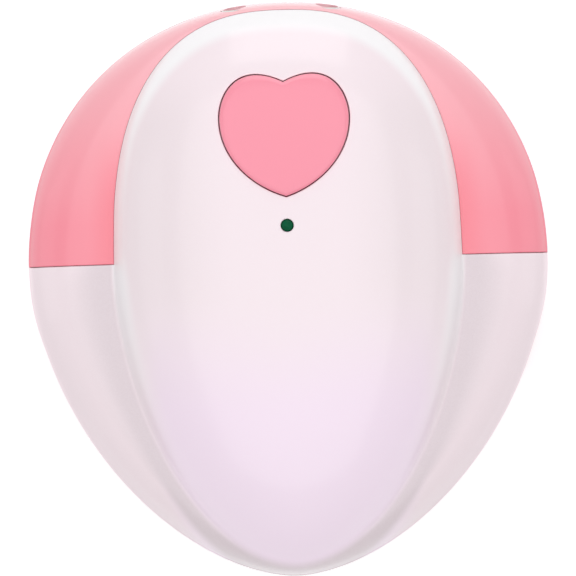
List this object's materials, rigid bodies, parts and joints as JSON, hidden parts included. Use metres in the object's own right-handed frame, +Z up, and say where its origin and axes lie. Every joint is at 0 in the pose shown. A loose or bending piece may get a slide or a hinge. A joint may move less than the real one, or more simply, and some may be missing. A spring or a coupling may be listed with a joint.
{
  "type": "fetal doppler monitor",
  "caption": "Palm-held fetal heartbeat doppler: egg-shaped shell with hood and trim, heart push button, light, thumb wheel, sliding battery door and round acoustic face.",
  "frame": {"origin": "middle of the case's length and width, on the surface it lies on", "axes": "+Z up from the back to the hood's crown, +Y to the wide head end, +X to the right seen from above"},
  "size_m": [0.0904, 0.1, 0.0344],
  "materials": {
    "pearl_shell": "glossy pearl white moulding",
    "pink_trim": "glossy pink moulding",
    "heart_pink": "satin pink moulding",
    "green_lens": "dark green diffused lens",
    "spring_steel": "drawn spring wire",
    "tinned_metal": "tinned leads and studs",
    "zinc_screw": "zinc plated",
    "black_plastic": "moulded black plastic",
    "white_plastic": "moulded white plastic",
    "foam": "closed-cell foam strip",
    "cell_wrap": "plain printed wrap",
    "lead_red": "soft red insulation",
    "lead_black": "soft black insulation",
    "board_green": "solder-masked laminate",
    "ribbon_grey": "flat ribbon",
    "capacitor_sleeve": "shrink sleeve",
    "acoustic_face": "fine satin acoustic plastic",
    "gasket": "soft gasket",
    "ceramic": "silvered piezo ceramic",
    "backing": "loaded damping rubber",
    "lead_orange": "thin insulation"
  },
  "bodies": {
    "root": {"front_case": "pearl_shell", "side_trim": "pink_trim", "button_spring": "spring_steel", "status_led": "green_lens", "led_leads": "tinned_metal", "led_spacer": "white_plastic", "rear_case": "pearl_shell", "battery_9v": "cell_wrap", "battery_terminals": "tinned_metal", "battery_snap": "black_plastic", "battery_lead_red": "lead_red", "battery_lead_black": "lead_black", "key_board": "board_green", "power_switch": "black_plastic", "headphone_jack_left": "white_plastic", "headphone_jack_right": "white_plastic", "main_board": "board_green", "board_ribbon": "ribbon_grey", "volume_pot": "black_plastic", "shield_can": "tinned_metal", "signal_chips": "black_plastic", "electrolytic_capacitors": "capacitor_sleeve", "oscillator_crystal": "tinned_metal", "probe_face": "acoustic_face", "probe_seal": "gasket", "probe_cup": "black_plastic", "transmit_crystal": "ceramic", "receive_crystal": "ceramic", "acoustic_backing": "backing", "probe_leads": "lead_orange", "case_screws": "zinc_screw", "board_screws": "zinc_screw"},
    "heart": {"heart_button": "heart_pink", "switch_plunger": "white_plastic"},
    "door": {"battery_door": "pearl_shell", "battery_pad": "foam"},
    "wheel": {"volume_wheel": "heart_pink", "wheel_screw": "zinc_screw", "pot_shaft": "tinned_metal"}
  },
  "joints": [
    {"name": "heart_press", "type": "slide", "parent": "root", "child": "heart", "axis": [0, 0, -1], "range_m": [0, 0.0009], "stiffness_N_per_m": 400, "springref_m": -0.003, "deforming": ["button_spring"]},
    {"name": "door_slide", "type": "slide", "parent": "root", "child": "door", "axis": [0, 1, 0], "range_m": [0, 0.04]},
    {"name": "volume_turn", "type": "hinge", "parent": "root", "child": "wheel", "pos_m": [0.03426, -0.007, 0.0056], "axis": [0, 0, 1], "range_deg": [0, 270]}
  ]
}
